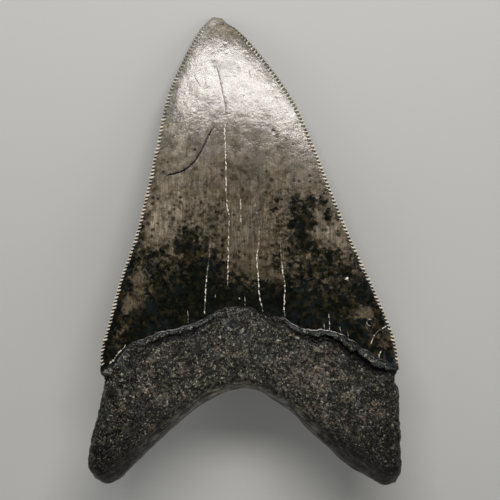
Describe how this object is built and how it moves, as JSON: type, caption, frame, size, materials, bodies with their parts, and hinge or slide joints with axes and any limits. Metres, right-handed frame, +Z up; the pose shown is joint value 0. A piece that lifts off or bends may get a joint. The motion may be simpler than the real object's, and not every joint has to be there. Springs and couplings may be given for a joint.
{
  "type": "megalodon tooth",
  "caption": "Broad triangular fossil shark tooth with serrated cutting edges, a ledge where the enamel ends and a thick forked root, lying with its flat lip side up.",
  "frame": {"origin": "under the middle of the tooth's bounding box, on the surface that the tooth lies on", "axes": "+X across the tooth towards the higher-set right corner, +Y from the root to the tip, +Z up out of the lip side"},
  "size_m": [0.0738, 0.1066, 0.0271],
  "materials": {
    "fossil": "glossy dark enamel with black mottling on the crown, dull pitted charcoal stone on the root"
  },
  "bodies": {
    "root": {"tooth": "fossil"}
  },
  "joints": []
}
